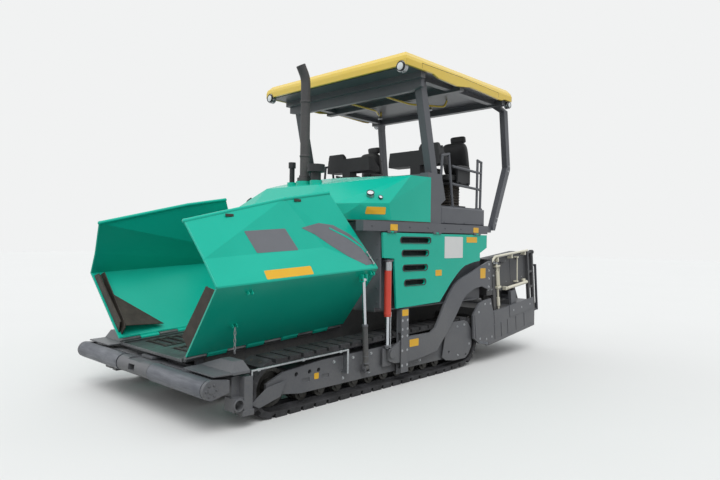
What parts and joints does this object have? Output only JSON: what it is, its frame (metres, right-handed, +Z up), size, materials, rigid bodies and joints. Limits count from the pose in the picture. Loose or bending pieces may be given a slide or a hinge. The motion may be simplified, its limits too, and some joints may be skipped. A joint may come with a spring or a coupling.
{
  "type": "asphalt paver",
  "caption": "Tracked road paver with folding hopper, push rollers, conveyor tunnel, augers, operator stand with roof, and a lifting screed with sliding extensions.",
  "frame": {"origin": "on the ground under the middle of the machine's length and width", "axes": "+X forward to the push rollers, +Y left, +Z up"},
  "size_m": [6, 2.55, 3.805],
  "materials": {
    "green_paint": "gloss",
    "grey_paint": "satin",
    "dark_steel": "worn",
    "black_paint": "satin",
    "yellow_shell": "gloss",
    "red_paint": "gloss",
    "chrome_rod": "polished",
    "track_rubber": "matt",
    "seat_fabric": "matt",
    "black_plastic": "matt",
    "flap_rubber": "matt",
    "lamp_glass": "clear",
    "worn_steel": "worn",
    "engine_iron": "rough"
  },
  "bodies": {
    "chassis": {"frame": "grey_paint", "front_frame": "grey_paint", "track_frames": "grey_paint", "track_left": "track_rubber", "track_right": "track_rubber", "track_wheels": "dark_steel", "engine_block": "engine_iron", "hopper_floor": "worn_steel", "conveyor_bars": "worn_steel", "body_shell": "grey_paint", "hood": "green_paint", "hood_louvres": "black_paint", "headlamps": "lamp_glass", "exhaust": "dark_steel", "air_precleaner": "black_plastic", "platform": "grey_paint", "toolboxes": "grey_paint", "handrails": "black_paint", "seat_frames": "black_plastic", "seat_pads": "seat_fabric", "consoles": "black_plastic", "roof_shell": "yellow_shell", "roof_frame": "grey_paint", "roof_lamps": "lamp_glass", "levelling_cylinders": "red_paint", "levelling_rods": "chrome_rod", "tow_columns": "grey_paint", "indicator_rod": "chrome_rod", "auger_holder": "grey_paint"},
    "wing_left": {"hopper_wing_left": "green_paint", "wing_flap_left": "flap_rubber"},
    "wing_right": {"hopper_wing_right": "green_paint", "wing_flap_right": "flap_rubber"},
    "barrel_left": {"wing_barrel_left": "grey_paint"},
    "barrel_right": {"wing_barrel_right": "grey_paint"},
    "rod_left": {"wing_rod_left": "chrome_rod"},
    "rod_right": {"wing_rod_right": "chrome_rod"},
    "push_beam": {"push_beam": "grey_paint"},
    "roller_left": {"push_roller_left": "worn_steel"},
    "roller_right": {"push_roller_right": "worn_steel"},
    "door_left": {"side_door_left": "green_paint"},
    "door_right": {"side_door_right": "green_paint"},
    "auger_left": {"auger_left": "worn_steel"},
    "auger_right": {"auger_right": "worn_steel"},
    "screed": {"screed_arms": "grey_paint", "screed_base": "grey_paint", "screed_towers": "grey_paint", "screed_walkway": "grey_paint", "screed_rails": "worn_steel"},
    "extension_left": {"screed_extension_left": "grey_paint", "screed_tube_left": "chrome_rod"},
    "extension_right": {"screed_extension_right": "grey_paint", "screed_tube_right": "chrome_rod"},
    "lift_barrels": {"lift_barrels": "grey_paint"},
    "lift_rods": {"lift_rods": "chrome_rod"}
  },
  "joints": [
    {"name": "wing_left", "type": "hinge", "parent": "chassis", "child": "wing_left", "pos_m": [2.80578, 0.65, 0.54198], "axis": [-0.9984, 0, 0.0558], "range_deg": [0, 36]},
    {"name": "wing_barrel_left", "type": "hinge", "parent": "chassis", "child": "barrel_left", "pos_m": [1.01, 1.241, 0.29], "axis": [-0.9984, 0, 0.0558], "range_deg": [-1, 26.71]},
    {"name": "wing_rod_left", "type": "slide", "parent": "barrel_left", "child": "rod_left", "axis": [0.0558, -0.0021, 0.9984], "range_m": [-0.4108, 0.005]},
    {"name": "wing_right", "type": "hinge", "parent": "chassis", "child": "wing_right", "pos_m": [2.80578, -0.65, 0.54198], "axis": [0.9984, 0, -0.0558], "range_deg": [0, 36]},
    {"name": "wing_barrel_right", "type": "hinge", "parent": "chassis", "child": "barrel_right", "pos_m": [1.01, -1.241, 0.29], "axis": [0.9984, 0, -0.0558], "range_deg": [-1, 26.71]},
    {"name": "wing_rod_right", "type": "slide", "parent": "barrel_right", "child": "rod_right", "axis": [0.0558, 0.0021, 0.9984], "range_m": [-0.4108, 0.005]},
    {"name": "push_beam_swing", "type": "hinge", "parent": "chassis", "child": "push_beam", "pos_m": [2.8, 0, 0.39], "axis": [0, 0, 1], "range_deg": [-3, 3]},
    {"name": "push_roller_left", "type": "hinge", "parent": "push_beam", "child": "roller_left", "pos_m": [2.915, 0.77, 0.39], "axis": [0, 1, 0], "continuous": true},
    {"name": "push_roller_right", "type": "hinge", "parent": "push_beam", "child": "roller_right", "pos_m": [2.915, -0.77, 0.39], "axis": [0, 1, 0], "continuous": true},
    {"name": "side_door_left", "type": "hinge", "parent": "chassis", "child": "door_left", "pos_m": [0, 1.258, 1.738], "axis": [1, 0, 0], "range_deg": [0, 80]},
    {"name": "side_door_right", "type": "hinge", "parent": "chassis", "child": "door_right", "pos_m": [0, -1.258, 1.738], "axis": [-1, 0, 0], "range_deg": [0, 80]},
    {"name": "auger_left", "type": "hinge", "parent": "chassis", "child": "auger_left", "pos_m": [-1.44, 0.6, 0.43], "axis": [0, 1, 0], "continuous": true},
    {"name": "auger_right", "type": "hinge", "parent": "chassis", "child": "auger_right", "pos_m": [-1.44, -0.6, 0.43], "axis": [0, 1, 0], "continuous": true},
    {"name": "screed_lift", "type": "hinge", "parent": "chassis", "child": "screed", "pos_m": [0.605, 0, 0.38], "axis": [0, 1, 0], "range_deg": [-6.5, 0]},
    {"name": "screed_extension_left", "type": "slide", "parent": "screed", "child": "extension_left", "axis": [0, 1, 0], "range_m": [0, 1.2]},
    {"name": "screed_extension_right", "type": "slide", "parent": "screed", "child": "extension_right", "axis": [0, -1, 0], "range_m": [0, 1.2]},
    {"name": "lift_barrels", "type": "hinge", "parent": "chassis", "child": "lift_barrels", "pos_m": [-1.446, 0, 1.66], "axis": [0, 1, 0], "range_deg": [-0.2, 0.95]},
    {"name": "lift_rods", "type": "slide", "parent": "lift_barrels", "child": "lift_rods", "axis": [-0.1552, 0, -0.9879], "range_m": [-0.005, 0.2585]}
  ],
  "couplings": [
    {"joint": "wing_barrel_left", "follows": "wing_left", "ratio": 0.7141},
    {"joint": "wing_rod_left", "follows": "wing_left", "m_per_rad": -0.64591},
    {"joint": "wing_barrel_right", "follows": "wing_right", "ratio": 0.7141},
    {"joint": "wing_rod_right", "follows": "wing_right", "m_per_rad": -0.64591},
    {"joint": "lift_barrels", "follows": "screed_lift", "ratio": -0.1153},
    {"joint": "lift_rods", "follows": "screed_lift", "m_per_rad": -2.2342}
  ]
}
